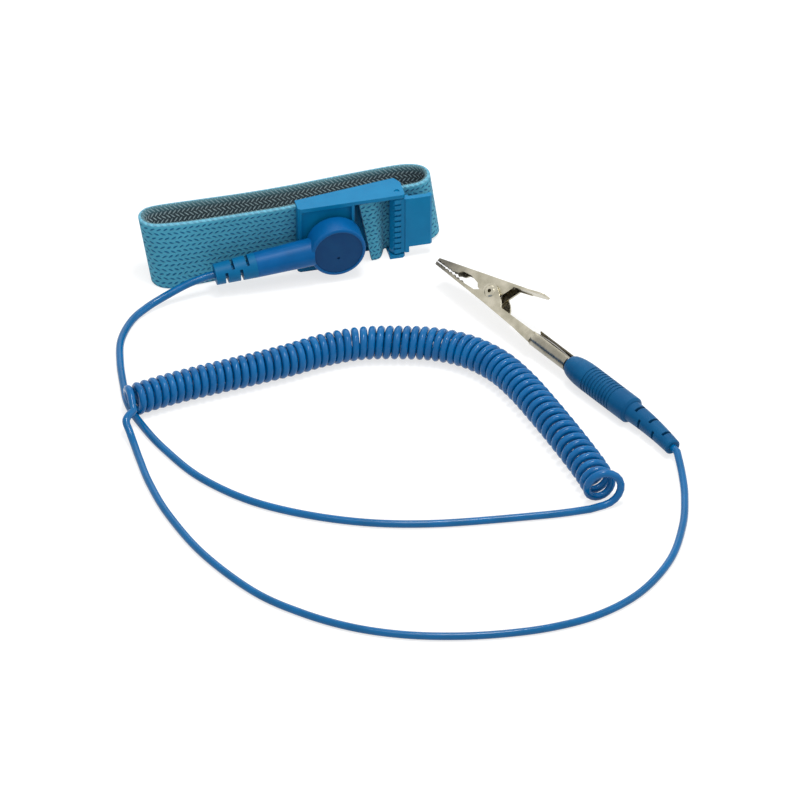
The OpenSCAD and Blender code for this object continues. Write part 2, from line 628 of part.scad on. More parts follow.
module plug_boot() {
    r = plug_boot_d / 2;
    ribs = 9;
    color("#1b5fa6") on_plug() difference() {
        lengthwise(0) rotate_extrude($fn = 64) polygon(concat([[0, 0]],
            [for (a = [0:15:90]) [nose_d / 2 + (r - nose_d / 2) * sin(a), nose_l * (1 - cos(a))]],
            [[r, plug_boot_l - 0.8], [r - 0.5, plug_boot_l - 0.2], [r - 0.8, plug_boot_l], [0, plug_boot_l]]));
        // fine grip grooves round the middle
        for (k = [0:ribs]) lengthwise(nose_l + 1 + 1.3 * k) difference() {
            cylinder(r = r + 1, h = 0.5, $fn = 64);
            translate([0, 0, -1]) cylinder(r = r - 0.2, h = 3, $fn = 64);
        }
        lengthwise(-1) cylinder(d = plug_core_d, h = 5);
        lengthwise(3) cylinder(d = collar_d, h = 3);
        lengthwise(5.9) cylinder(d = 3.6, h = terminal_at + terminal_l - 5.7);
        lengthwise(terminal_at + terminal_l) cylinder(d = cord_d, h = plug_boot_l);
        lengthwise(plug_boot_l - neck_len - 0.2) cylinder(r = neck_r, h = neck_len + 1);
    }
}

module banana_plug_pin() {
    color("#c9cbce") on_plug() difference() {
        union() {
            lengthwise(-plug_pin_l + 1.2) cylinder(d = plug_core_d, h = plug_pin_l + 3);
            lengthwise(-plug_pin_l) cylinder(d1 = plug_core_d - 1.2, d2 = plug_core_d + 0.4, h = 1.2);
            lengthwise(-0.8) cylinder(d = plug_core_d + 0.8, h = 0.8);
            lengthwise(3) cylinder(d = collar_d, h = 2.9);
            lengthwise(5) cylinder(d = 3.4, h = terminal_at + terminal_l - 5.2);
        }
        lengthwise(terminal_at + 3) cylinder(d = lead_d + 0.4, h = terminal_l);
    }
}

// Slotted sleeve of four bowed leaves that turns on the plug's core.
module banana_leaf_spring() {
    length = plug_pin_l - 2.2;
    inner = plug_core_d / 2 + run_gap;
    bow = plug_spring_d / 2 - 0.2;
    leaf = 0.2;
    steps = 10;
    outline = [for (k = [0:steps]) [inner + (bow - inner) * sin(180 * k / steps), length * k / steps]];
    color("#d6c48a") on_plug() lengthwise(-plug_pin_l + 1.3) difference() {
        rotate_extrude() polygon(concat(
            [for (p = outline) [p[0], p[1]]],
            [for (k = [0:steps]) let (p = outline[steps - k]) [p[0] + leaf, p[1]]]));
        for (a = [0:90:270]) rotate([0, 0, a + 45]) translate([0, -0.35, 1.8]) cube([4, 0.7, length - 3.6]);
    }
}

// ---- crocodile clip in the plug frame: the tip is at x = -clip_l, +Y is the handle's side ----
tip_y = [-0.45, 1.75];       // lower and upper edge of the shut jaws at the tip
pivot_y = 2.9;
bite_y = 0.65;               // line on which the teeth meet
bite_gap = 0.25;
tooth_h = 0.5;
tip_w = 4.4;
upper_w = jaw_w - 2 * sheet_t - 0.3;
handle_y = 10.2;             // back of the handle where its thumb pad starts
handle_from = 33;
handle_w = 5;                // width of the handle's thumb pad
handle_end = 38.3;           // from the tip
tooth_pitch = 1.6;
ferrule_d = 5.2;
ferrule_bore = 4.3;
ferrule_l = 14;
ferrule_turn = 25;           // turn of the ferrule's open seam from the handle's side
module in_clip() {
    on_plug() translate([-clip_l, 0, 0]) children();
}
// Sheet metal trough: profile in the side view, plan in the view onto its spine.
module trough(profile, inside, plan, plan_inside) {
    difference() {
        intersection() {
            translate([0, 0, -10]) linear_extrude(20) polygon(profile);
            rotate([90, 0, 0]) translate([0, 0, -20]) linear_extrude(40) polygon(plan);
        }
        intersection() {
            translate([0, 0, -10]) linear_extrude(20) polygon(inside);
            rotate([90, 0, 0]) translate([0, 0, -20]) linear_extrude(40) polygon(plan_inside);
        }
    }
}
function mirror_plan(points) = concat(points, [for (i = [len(points) - 1:-1:0]) [points[i][0], -points[i][1]]]);
// Toothed edge from x a to x b at height y, teeth down or up by h.
function teeth_edge(a, b, y, h) =
    let (n = floor(abs(b - a) / tooth_pitch), step = (b - a) / n)
    flat([for (k = [0:n - 1]) [[a + step * k, y], [a + step * (k + 0.5), y + h]]]);
teeth_end = 8.6;
tail_at = clip_l - ferrule_l - 1.5;          // where the lower jaw's trough runs into the ferrule
low_edge = [[0.3, tip_y[0]], [pivot_at + 1, -0.95], [37, -1.55], [tail_at, -2.25]];
back_edge = [[0.3, tip_y[1]], [handle_from, handle_y], [handle_end + 0.2, handle_y + 1.7]];

module lower_jaw() {
    bite = bite_y - bite_gap / 2;
    ear_r = 2.6;
    profile = concat(low_edge,
        [[tail_at, 1.2], [pivot_at + 6.6, 1], [pivot_at + 6, 1.9], [pivot_at + 4.8, pivot_y + 0.1]],
        [for (a = [60:20:180]) [pivot_at + ear_r * cos(a), pivot_y + ear_r * sin(a)]],
        [[pivot_at - ear_r, 2], [pivot_at - ear_r - 2.5, 0.5], [teeth_end + 1, 0]],
        teeth_edge(teeth_end, 0.4, bite, -tooth_h),
        [[0.1, bite]]);
    inside = concat([[-1, tip_y[0] + sheet_t]], [for (e = [1:3]) low_edge[e] + [0, sheet_t]],
        [[clip_l, low_edge[3][1] + sheet_t], [clip_l, 12], [-1, 12]]);
    plan = mirror_plan([[0, -tip_w / 2], [pivot_at - 5, -jaw_w / 2], [pivot_at + 5, -jaw_w / 2],
        [pivot_at + 9, -2.9], [tail_at, -2.6]]);
    plan_inside = mirror_plan([[0.6, -tip_w / 2 + sheet_t], [pivot_at - 5, -jaw_w / 2 + sheet_t],
        [pivot_at + 5, -jaw_w / 2 + sheet_t], [pivot_at + 9, -2.9 + sheet_t], [clip_l, -2.6 + sheet_t]]);
    color("#b9b6ad") in_clip() difference() {
        union() {
            trough(profile, inside, plan, plan_inside);
            // ferrule rolled round the banana plug, open along its top
            lengthwise(clip_l - ferrule_l - 2) difference() {
                cylinder(d = ferrule_d, h = ferrule_l + 1.7);
                translate([0, 0, -1]) cylinder(d = ferrule_bore, h = ferrule_l + 4);
                rotate([0, 0, ferrule_turn]) translate([-1.4, 0, -1]) cube([2.8, 4, ferrule_l + 4]);
            }
        }
        translate([pivot_at, pivot_y, -20]) cylinder(d = rivet_d, h = 40);
        lengthwise(clip_l - ferrule_l - 1) cylinder(d = ferrule_bore, h = ferrule_l + 4);
    }
}

module upper_jaw() {
    bite = bite_y + bite_gap / 2;
    profile = concat(
        [[0.1, bite]],
        teeth_edge(0.4, teeth_end, bite, tooth_h),
        [[teeth_end + 0.5, 1.6], [teeth_end + 1.6, 2.8], [teeth_end + 4.6, 3.3], [pivot_at - 6, 2.7],
         [pivot_at - 5, 1.7], [pivot_at - 2.2, pivot_y - 1.9], [pivot_at, pivot_y - 2.4],
         [pivot_at + 2.4, pivot_y - 1.9], [pivot_at + 2.8, pivot_y], [pivot_at + 3.6, pivot_y + 1.4],
         [pivot_at + 5.2, pivot_y + 5.1], [handle_from, handle_y - 0.8], [handle_end, handle_y + 0.8]],
        [for (e = [2:-1:0]) back_edge[e]]);
    inside = concat([[-1, tip_y[1] - sheet_t - 0.35]], [for (e = [1:2]) back_edge[e] - [0, sheet_t]],
        [[handle_end + 2, back_edge[2][1]], [handle_end + 2, -12], [-1, -12]]);
    plan = mirror_plan([[0, -tip_w / 2], [pivot_at - 5, -upper_w / 2], [pivot_at + 8, -upper_w / 2],
        [handle_from, -handle_w / 2], [handle_end - 1, -handle_w / 2], [handle_end + 1, -handle_w / 2 + 1.2]]);
    plan_inside = mirror_plan([[0.6, -tip_w / 2 + sheet_t], [pivot_at - 5, -upper_w / 2 + sheet_t],
        [pivot_at + 8, -upper_w / 2 + sheet_t], [handle_from - 0.5, -handle_w / 2 + sheet_t],
        [handle_from - 0.5, -8], [clip_l, -8]]);
    color("#b9b6ad") in_clip() difference() {
        trough(profile, inside, plan, plan_inside);
        translate([pivot_at, pivot_y, -20]) cylinder(d = rivet_d + 2 * run_gap, h = 40);
    }
}

module jaw_pivot_rivet() {
    head = 3.8;
    color("#a8a69f") in_clip() translate([pivot_at, pivot_y, 0]) difference() {
        union() {
            translate([0, 0, -jaw_w / 2]) cylinder(d = rivet_d, h = jaw_w);
            for (side = [0, 1]) mirror([0, 0, side]) translate([0, 0, jaw_w / 2]) cylinder(d1 = head, d2 = head - 0.8, h = 0.4);
        }
        translate([0, 0, -10]) cylinder(d = 1.2, h = 20);
    }
}

// Torsion spring round the rivet: a leg along the tail, the curls, and a leg under the handle.
module jaw_spring() {
    r = rivet_d / 2 + spring_wire / 2 + 0.35;
    pitch = spring_wire + 0.5;
    rings = 8;
    tail_leg = -9;       // direction of each leg in the side view
    handle_leg = 28;
    start = tail_leg - 90;
    sweep = 360 * spring_turns + 180 + tail_leg - handle_leg;
    steps = ceil(sweep / 360 * rings);
    width = pitch * sweep / 360;
    leg = 7;
    function spoke(k) = let (a = start - sweep * k / steps) [cos(a), sin(a), 0];
    curls = [for (k = [0:steps]) [pivot_at, pivot_y, -width / 2 + width * k / steps] + r * spoke(k)];
    tail_dir = [cos(tail_leg), sin(tail_leg), 0];
    handle_dir = [cos(handle_leg), sin(handle_leg), 0];
    line = concat([curls[0] + leg * tail_dir], curls, [curls[steps] + leg * handle_dir]);
    sides = [for (i = [0:len(line) - 1]) spoke(min(max(i - 1, 0), steps))];
    echo(spring_gap = norm(curls[rings] - curls[0]) - spring_wire);
    color("#7d7f82") in_clip() tube(line, sides, spring_wire / 2, 6);
}

elastic_band();
buckle_body();
skin_contact_plate();
snap_stud();
stud_rivet();
clamp_lever();
lever_pivot_pin();
snap_head_housing();
snap_head_cover();
snap_socket();
snap_spring_ring();
limiting_resistor();
resistor_crimp();
snap_cord_end();
snap_strain_relief();
cord_to_snap();
coiled_cord();
cord_to_clip();
clip_strain_relief();
plug_cord_end();
plug_boot();
banana_plug_pin();
banana_leaf_spring();
lower_jaw();
upper_jaw();
jaw_pivot_rivet();
jaw_spring();
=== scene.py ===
import math
import bpy
from mathutils import Matrix, Vector


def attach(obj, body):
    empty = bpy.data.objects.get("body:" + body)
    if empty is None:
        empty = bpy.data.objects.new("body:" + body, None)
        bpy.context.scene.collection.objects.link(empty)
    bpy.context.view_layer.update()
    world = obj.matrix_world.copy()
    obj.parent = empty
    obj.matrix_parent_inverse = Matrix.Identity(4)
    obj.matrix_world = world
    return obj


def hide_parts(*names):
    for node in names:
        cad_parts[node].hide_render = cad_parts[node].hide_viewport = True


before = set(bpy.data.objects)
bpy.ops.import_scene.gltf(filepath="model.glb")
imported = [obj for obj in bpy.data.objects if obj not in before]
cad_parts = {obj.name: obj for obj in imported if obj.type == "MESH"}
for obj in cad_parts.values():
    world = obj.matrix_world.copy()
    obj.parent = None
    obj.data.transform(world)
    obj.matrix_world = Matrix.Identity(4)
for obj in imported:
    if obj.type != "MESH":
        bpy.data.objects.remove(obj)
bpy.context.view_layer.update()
scene = bpy.context.scene
mm = 0.001
print("frame loaded:", len(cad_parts), "nodes")


# camera
camera = {
    "azimuth": -13.5,
    "elevation": 37,
    "target": (15.1, -72.1, 0),  # mm, the point at the middle of the picture
    "seenWidth": 235.3,          # mm across the picture there
    "lens": 1500,                # mm, so long that nearer pieces hardly grow
}


def viewBack(azimuth, elevation):
    a, e = math.radians(azimuth), math.radians(elevation)
    return Vector((math.sin(a) * math.cos(e), -math.cos(a) * math.cos(e), math.sin(e)))


def addCamera(spec):
    data = bpy.data.cameras.new("camera")
    data.lens = spec["lens"]
    back = viewBack(spec["azimuth"], spec["elevation"])
    distance = spec["seenWidth"] * mm * data.lens / data.sensor_width
    data.clip_start, data.clip_end = distance * 0.1, distance * 3
    thing = bpy.data.objects.new("camera", data)
    thing.location = Vector(spec["target"]) * mm + back * distance
    thing.rotation_mode = "QUATERNION"
    thing.rotation_quaternion = (-back).to_track_quat("-Z", "Y")
    scene.collection.objects.link(thing)
    scene.camera = thing


addCamera(camera)
print("camera placed")


# lines and places, in mm
def curveAt(a, b, c, d, t):
    square, cube = 2 * a - 5 * b + 4 * c - d, 3 * b - a - 3 * c + d
    return 0.5 * (2 * b + (c - a) * t + square * t * t + cube * t ** 3)


def smoothLine(points, steps):
    points = [Vector(p) for p in points]
    last = len(points) - 1
    line = []
    for i in range(last):
        around = (points[max(i - 1, 0)], points[i], points[i + 1], points[min(i + 2, last)])
        line += [curveAt(*around, k / steps) for k in range(steps)]
    return line + [points[last]]


def turned(*turns):
    matrix = Matrix.Identity(4)
    for axis, angle in turns:
        matrix = matrix @ Matrix.Rotation(math.radians(angle), 4, axis)
    return matrix


cord = {"diameter": 2.3, "pointsPerStretch": 8}
lift = cord["diameter"] / 2  # height of a cord's middle as it lies on the table

snap = {"x": 11.0, "y": -8.09, "z": 10.8, "droop": 6.4, "reach": 37.0}
boot = Matrix.Translation((snap["x"], snap["y"], snap["z"])) @ turned(("Y", 180 - snap["droop"]))

plug = {"at": (66.3, -73.4, 5.2), "heading": -63.5, "pitch": 2, "roll": 40,
        "bootLength": 28.5, "reliefLength": 20.5, "reliefBend": 9.9}
plugTurn = turned(("Z", plug["heading"]), ("Y", plug["pitch"]), ("X", plug["roll"]))
plugFrame = Matrix.Translation(plug["at"]) @ plugTurn
bootEnd = Matrix.Translation((plug["bootLength"], 0, 0))
reliefFrame = plugFrame @ bootEnd @ turned(("X", -plug["roll"]))
bend = math.radians(plug["reliefBend"])
bendRadius = plug["reliefLength"] / bend


def reliefPoint(share):
    a = bend * share
    return Vector((bendRadius * math.sin(a), bendRadius * (math.cos(a) - 1), 0))


reliefTip = reliefFrame @ reliefPoint(1)
reliefTipWay = reliefFrame.to_3x3() @ Vector((math.cos(bend), -math.sin(bend), 0))

snapRoute = [
    (-34, -8.9, 5.3), (-41, -10.3, 3.2), (-47.5, -12.9, 1.8), (-53.2, -17.4, lift),
    (-58.4, -26, lift), (-61, -36, lift), (-62.6, -47, lift), (-63.5, -57, lift),
    (-62, -67, lift), (-58.2, -80.5, lift), (-50.5, -97.5, lift), (-36.5, -113.5, lift),
    (-15, -126.6, lift), (9, -134.1, lift), (42, -137.8, lift),
]
coilRoute = [
    (60.9, -137.3), (60.1, -127), (58, -115.3), (55.4, -103), (52.8, -91.7), (49.9, -80.6),
    (45.7, -69.8), (38.9, -60.6), (29.9, -54.5), (19.2, -51), (8.1, -48.9), (-3, -49.6),
    (-14, -51.9), (-27.5, -54), (-41, -55.8), (-51, -57.4), (-60, -59.4), (-64.3, -60.5),
]
clipRoute = [
    (-66.9, -69.2, 4.9), (-66.6, -72.8, 2.9), (-66.3, -77, 1.5), (-66.3, -84, lift),
    (-66.1, -96, lift), (-64.2, -112, lift), (-58.7, -132.8, lift), (-48.5, -153.9, lift),
    (-37.2, -167.2, lift), (-24.9, -177.1, lift), (-11.7, -183.9, lift),
    (2.3, -188.2, lift), (17, -190.6, lift), (32.5, -190.9, lift), (47.5, -188, lift),
    (61.5, -180.4, lift), (73.5, -167.3, lift), (81, -152, lift),
    (84.8, -139, 1.4), (86.4, -129.4, 2.2),
]

coil = {
    "turns": 66, "meanDiameter": 7.4, "pointsPerTurn": 20,
    "flare": 0.9,    # mm more across the turns at the right end
    "lift": 210,     # degrees past a whole turn where the wire leaves
    "open": 160,     # degrees of the last turn that open into the tail
    "tail": 120,     # how much further they carry
    "headOpen": 360,  # degrees of the first turn that stand apart from the next
    "head": 110,     # how much further they carry
    "headWider": 2.2,  # mm more in its radius, as it has sprung open
    "spread": 0.09,  # share of the coil's length that goes to winding its first turns wider
    "spreadReach": 0.42,  # share of the turns that are wound so
}
coilSweep = 360 * coil["turns"] + coil["lift"]
coilWhole = coilSweep + coil["tail"] + coil["head"]
coilLine = smoothLine([(x, y, 0) for x, y in coilRoute], 8)
coilReach = [0]
for before, after in zip(coilLine, coilLine[1:]):
    coilReach.append(coilReach[-1] + (after - before).length)


def coilRadius(share):
    sprung = max(0, 1 - share * coilWhole / (360 + coil["head"]))
    return (coil["meanDiameter"] + coil["flare"] * (1 - share)) / 2 + coil["headWider"] * sprung


def coilMiddle(share):
    want = share * coilReach[-1]
    i = max(k for k in range(len(coilReach) - 1) if coilReach[k] <= want)
    t = (want - coilReach[i]) / (coilReach[i + 1] - coilReach[i])
    return coilLine[i].lerp(coilLine[i + 1], t) + Vector((0, 0, coilRadius(share) + lift))


def coilPoint(share):
    opened = max(0, 1 - (1 - share) * coilSweep / coil["open"])
    shut = max(0, 1 - share * coilSweep / coil["headOpen"])
    loose = 1 - max(0, 1 - share / coil["spreadReach"]) ** 2
    wound = (1 - coil["spread"]) * share + coil["spread"] * loose
    along = (coilSweep * wound + coil["tail"] * opened ** 2 + coil["head"] * (1 - shut ** 2)) / coilWhole
    way = coilMiddle(min(along + 0.01, 1)) - coilMiddle(max(along - 0.01, 0))
    way = Vector((way.x, way.y, 0)).normalized()
    a = math.radians(coilSweep * share - 90)
    spoke = math.cos(a) * Vector((way.y, -way.x, 0)) + math.sin(a) * Vector((0, 0, 1))
    return coilMiddle(along) + coilRadius(along) * spoke


coilSteps = math.ceil(coilSweep / 360 * coil["pointsPerTurn"])
coilPoints = [coilPoint(k / coilSteps) for k in range(coilSteps + 1)]
coilStartWay = (coilPoint(1e-6) - coilPoint(0)).normalized()
coilEndWay = (coilPoint(1) - coilPoint(1 - 1e-6)).normalized()
coilStart = coilPoints[0] - cord["diameter"] * coilStartWay
coilEnd = coilPoints[-1] + cord["diameter"] * coilEndWay
coilPath = [coilStart] + coilPoints + [coilEnd]


def cordLine(start, startWay, route, end, endWay):
    straight = cord["diameter"]
    route = [start + straight * startWay] + [Vector(p) for p in route] + [end - straight * endWay]
    middle = smoothLine(route, cord["pointsPerStretch"])
    return [start] + [Vector((p.x, p.y, max(p.z, lift))) for p in middle] + [end]


def lineLength(points):
    return sum((b - a).length for a, b in zip(points, points[1:]))


snapExit = boot @ Vector((snap["reach"], 0, 0))
snapWay = boot.to_3x3() @ Vector((1, 0, 0))
snapPath = cordLine(snapExit, snapWay, snapRoute, coilPath[0], coilStartWay)
clipPath = cordLine(coilPath[-1], coilEndWay, clipRoute, reliefTip, -reliefTipWay)


def addCord(name, points, sides):
    data = bpy.data.curves.new(name, "CURVE")
    data.dimensions = "3D"
    data.bevel_depth = cord["diameter"] / 2 * mm
    data.bevel_resolution = sides
    data.use_fill_caps = True
    spline = data.splines.new("POLY")
    spline.points.add(len(points) - 1)
    for spot, p in zip(spline.points, points):
        spot.co = (*(p * mm), 1)
    spline.use_smooth = True
    thing = bpy.data.objects.new(name, data)
    scene.collection.objects.link(thing)
    return thing


cordToSnap = addCord("cordToSnap", snapPath, 5)
cordCoil = addCord("cordCoil", coilPath, 4)
cordToClip = addCord("cordToClip", clipPath, 5)
print("cords laid, mm:", [round(lineLength(p)) for p in (snapPath, coilPath, clipPath)])


# mesh helpers
def addMesh(name, points, faces, sharpAngle=40):
    data = bpy.data.meshes.new(name)
    data.from_pydata([Vector(p) * mm for p in points], [], faces)
    data.update()
    data.polygons.foreach_set("use_smooth", [True] * len(data.polygons))
    data.set_sharp_from_angle(angle=math.radians(sharpAngle))
    thing = bpy.data.objects.new(name, data)
    scene.collection.objects.link(thing)
    return thing


# elastic band
band = {
    "width": 21.5, "thickness": 1.6, "bottom": 0.75, "lean": 3.2, "tilt": 3.4, "sag": 0.75,
    "frontY": -4.22, "selvedge": 0.4, "rows": 14, "stepsPerStation": 5,
    "tailSkew": 3.9,  # mm by which the free end is cut on the slant
    "tailLength": 9,  # mm back from the end over which that shows
}
# middle line seen from above: x, depth behind the buckle's face, share of lean, share of sag
bandStations = [
    (14.3, 5.87, 0, 0), (11, 5.39, 0, 0), (0.5, 4, 0, 0.02), (-4.5, 3.5, 0.1, 0.15),
    (-14.25, 3.2, 0.3, 0.45), (-28.25, 2.8, 0.6, 0.8), (-37.75, 3, 1, 1), (-41.95, 4.4, 1, 1),
    (-43.45, 7.5, 1, 1), (-42.15, 10.5, 1, 1), (-38.25, 12, 1, 1), (-25.25, 12.2, 1, 0.8),
    (-11.25, 12.3, 1, 0.6), (1.75, 12.9, 1, 0.45), (14.25, 14, 1, 0.3), (25.25, 14.9, 1, 0.2),
    (34.25, 15.5, 1, 0.15), (39.05, 15.2, 0.9, 0.15), (42.35, 13.7, 0.9, 0.15), (43.61, 11.1, 0.9, 0.15),
    (42.85, 8.4, 0.8, 0.1), (40.65, 6.5, 0.6, 0.1), (37.25, 5.7, 0.3, 0.05), (32.5, 5.6, 0, 0),
    (29.4, 5.6, 0, 0), (27.2, 5, 0, 0.1), (24.62, 2.9, 0, 1), (22.46, 1.5, 0, 1), (19.1, 1.2, 0, 1),
]


def addBand(name, spec):
    line = smoothLine([(x, depth, lean) for x, depth, lean, sag in bandStations], spec["stepsPerStation"])
    sags = smoothLine([(sag, 0, 0) for x, depth, lean, sag in bandStations], spec["stepsPerStation"])
    half, edge = spec["thickness"] / 2, spec["selvedge"]
    rows = spec["rows"]
    around = []  # (side of the band, mm below the top edge or above the bottom edge) round the section
    for k in range(7):
        a = math.radians(90 * k / 6)
        around.append((math.sin(a), edge * (1 - math.cos(a))))
    section = list(around)
    section += [(1, edge + (spec["width"] - 2 * edge) * k / rows) for k in range(1, rows)]
    section += [(c, spec["width"] - up) for c, up in reversed(around)]
    mirrored = [(-c, up) for c, up in reversed(section[1:-1])]
    ring = section + mirrored
    reach, total = [0], 0
    for a, b in zip(line, line[1:]):
        total += math.hypot(b.x - a.x, b.y - a.y)
        reach.append(total)
    points = []
    for i, p in enumerate(line):
        a, b = line[max(i - 1, 0)], line[min(i + 1, len(line) - 1)]
        way = Vector((b.x - a.x, b.y - a.y)).normalized()
        side = Vector((way.y, -way.x)) * half
        sag = sags[i].x
        low = spec["bottom"] - spec["sag"] * sag
        lean, tilt = spec["lean"] / 2 * p.z, spec["tilt"] / 2 * min(sag, p.z)
        skew = spec["tailSkew"] * max(0, 1 - (total - reach[i]) / spec["tailLength"])
        for c, up in ring:
            share = up / spec["width"]
            points.append((p.x + c * side.x + lean * (1 - 2 * share) + skew * (1 - share),
                           spec["frontY"] + p.y + c * side.y - tilt * (1 - 2 * share), low + up))
    n = len(ring)
    faces, marks, uvs = [], [], []
    for i in range(len(line) - 1):
        for j in range(n):
            k = (j + 1) % n
            faces.append((i * n + j, i * n + k, (i + 1) * n + k, (i + 1) * n + j))
            inside = ring[j][0] + ring[k][0] > 0
            marks.append(1 if inside else 0)
            vj, vk = ring[j][1], ring[k][1]
            uvs += [(reach[i], vj), (reach[i], vk), (reach[i + 1], vk), (reach[i + 1], vj)]
    for i, flip in ((0, True), (len(line) - 1, False)):
        face = [i * n + j for j in range(n)]
        faces.append(face[::-1] if flip else face)
        marks.append(0)
        uvs += [(reach[i], ring[j % n][1]) for j in (range(n - 1, -1, -1) if flip else range(n))]
    thing = addMesh(name, points, faces, 50)
    layer = thing.data.uv_layers.new(name="bandMillimetres")
    layer.data.foreach_set("uv", [x for uv in uvs for x in uv])
    thing.data.polygons.foreach_set("material_index", marks)
    return thing, total


bandFabric, bandLength = addBand("bandFabric", band)
print("band made, mm:", round(bandLength))


# strain relief behind the plug's boot
relief = {
    "startRadius": 3.25, "endRadius": 2.4, "into": 1.0, "round": 0.4, "sides": 48,
    "cuts": (3.0, 6.2, 9.5, 12.8, 16.2), "cutWidth": 0.9, "core": 1.5,
    "cutAngle": plug["roll"], "cutReach": 76,  # degrees: the cuts lie by turns on both sides of the plug
}


def addRelief(name, spec):
    length = plug["reliefLength"]
    stations = [(-spec["into"], None), (length - spec["round"], None), (length, None)]
    stations += [(0.8 * k, None) for k in range(1, int((length - spec["round"]) / 0.8))]
    for number, place in enumerate(spec["cuts"]):
        near, far = place - spec["cutWidth"] / 2, place + spec["cutWidth"] / 2
        stations = [s for s in stations if not near - 0.1 < s[0] < far + 0.1]
        stations += [(near - 0.02, None), (near, number), (far, number), (far + 0.02, None)]
    stations.sort(key=lambda s: s[0])
    points, n = [], spec["sides"]
    for at, cut in stations:
        share = at / length
        middle, a = reliefPoint(share), bend * share
        across, up = Vector((math.sin(a), math.cos(a), 0)), Vector((0, 0, 1))
        radius = spec["startRadius"] + (spec["endRadius"] - spec["startRadius"]) * share
        radius -= spec["round"] * max(0, (at - length + spec["round"]) / spec["round"])
        for k in range(n):
            angle = 360 * k / n
            turn = 0 if cut is None else (angle - spec["cutAngle"] - 180 * (cut % 2) + 180) % 360 - 180
            deep = cut is not None and abs(turn) < spec["cutReach"]
            r, c = (spec["core"] if deep else radius), math.radians(angle)
            points.append(reliefFrame @ (middle + r * (math.cos(c) * across + math.sin(c) * up)))
    faces = [tuple(range(n))[::-1], tuple(range((len(stations) - 1) * n, len(stations) * n))]
    for i in range(len(stations) - 1):
        for k in range(n):
            m = (k + 1) % n
            faces.append((i * n + k, i * n + m, (i + 1) * n + m, (i + 1) * n + k))
    return addMesh(name, points, faces, 35)


plugRelief = addRelief("plugRelief", relief)
print("strain relief made, mm long:", plug["reliefLength"])


# materials
def hexColour(text):
    values = [int(text[i:i + 2], 16) / 255 for i in (1, 3, 5)]
    return [v / 12.92 if v <= 0.04045 else ((v + 0.055) / 1.055) ** 2.4 for v in values] + [1.0]


def addNode(tree, kind, sockets=None, **settings):
    node = tree.nodes.new(kind)
    for name, value in settings.items():
        setattr(node, name, value)
    for name, value in (sockets or {}).items():
        if isinstance(value, bpy.types.NodeSocket):
            tree.links.new(value, node.inputs[name])
        else:
            node.inputs[name].default_value = value
    return node


def newMaterial(name, sockets):
    material = bpy.data.materials.new(name)
    material.use_nodes = True
    shader = material.node_tree.nodes["Principled BSDF"]
    for socket, value in sockets.items():
        shader.inputs[socket].default_value = value
    return material, material.node_tree, shader


def grainScale(size):
    return 1 / (size * mm)  # noise scale for a grain of this many mm


def mottle(tree, position, colours, size, spread=0.5):
    noise = addNode(tree, "ShaderNodeTexNoise", {"Vector": position, "Scale": grainScale(size), "Detail": 3})
    ramp = addNode(tree, "ShaderNodeValToRGB", {"Fac": noise.outputs["Fac"]})
    ramp.color_ramp.elements[0].position = 0.5 - spread / 2
    ramp.color_ramp.elements[1].position = 0.5 + spread / 2
    ramp.color_ramp.elements[0].color = hexColour(colours[0])
    ramp.color_ramp.elements[1].color = hexColour(colours[1])
    return ramp.outputs["Color"]


def roughen(tree, shader, position, low, high, size, height, edge=0):
    noise = addNode(tree, "ShaderNodeTexNoise", {"Vector": position, "Scale": grainScale(size), "Detail": 4})
    span = addNode(tree, "ShaderNodeMapRange", {"Value": noise.outputs["Fac"], "To Min": low, "To Max": high})
    tree.links.new(span.outputs["Result"], shader.inputs["Roughness"])
    sockets = {"Height": noise.outputs["Fac"], "Distance": height * mm, "Strength": 1.0}
    if edge:
        bevel = addNode(tree, "ShaderNodeBevel", {"Radius": edge * mm}, samples=6)
        sockets["Normal"] = bevel.outputs["Normal"]
    bump = addNode(tree, "ShaderNodeBump", sockets)
    tree.links.new(bump.outputs["Normal"], shader.inputs["Normal"])


cloudSize = {"plastic": 6, "metal": 4}  # mm, how far the colour takes to drift


def mouldedPlastic(name, colours, roughness, grain, edge, sockets):
    material, tree, shader = newMaterial(name, sockets)
    position = addNode(tree, "ShaderNodeTexCoord").outputs["Object"]
    tree.links.new(mottle(tree, position, colours, cloudSize["plastic"]), shader.inputs["Base Color"])
    roughen(tree, shader, position, roughness[0], roughness[1], grain[0], grain[1], edge)
    return material


plasticGloss = {"IOR": 1.5, "Specular IOR Level": 0.14}
cordGloss = {"IOR": 1.5, "Specular IOR Level": 0.24}
# each: two colours, roughness from and to, grain size and depth in mm, rounding of edges in mm
# polyurethane, extruded: even and glossy, with a small bright glint where it bends
cordJacket = mouldedPlastic(
    "polyurethaneExtruded", ("#005A8E", "#0066A2"), (0.12, 0.18), (0.5, 0.008), 0, cordGloss)
# the same on the coil, with painted light: a brighter, purer blue than the free cord
coilJacketPaintedLight = mouldedPlastic(
    "polyurethaneWoundPaintedLight", ("#005C98", "#006AA8"), (0.12, 0.18), (0.5, 0.008), 0, cordGloss)
# soft PVC, injection moulded: duller than the cord, with a fine spark-eroded skin
bootVinyl = mouldedPlastic(
    "softPvcMoulded", ("#034D7C", "#065A88"), (0.36, 0.5), (0.3, 0.03), 0.15, plasticGloss)
# the same in a lighter mix: as dull, and paler
snapVinyl = mouldedPlastic(
    "softPvcMouldedPale", ("#066294", "#0A6E9E"), (0.34, 0.46), (0.3, 0.03), 0.12, plasticGloss)
# ABS, injection moulded: smooth with soft wide highlights
snapAbs = mouldedPlastic(
    "absMouldedDark", ("#02558F", "#0560A0"), (0.3, 0.4), (0.3, 0.012), 0.25, plasticGloss)
# the same in the head's cover, darkened with painted shade: nearly navy, and a little duller
coverAbsPaintedShade = mouldedPlastic(
    "absMouldedCoverPaintedShade", ("#023C6E", "#064676"), (0.36, 0.46), (0.3, 0.02), 0.1, plasticGloss)
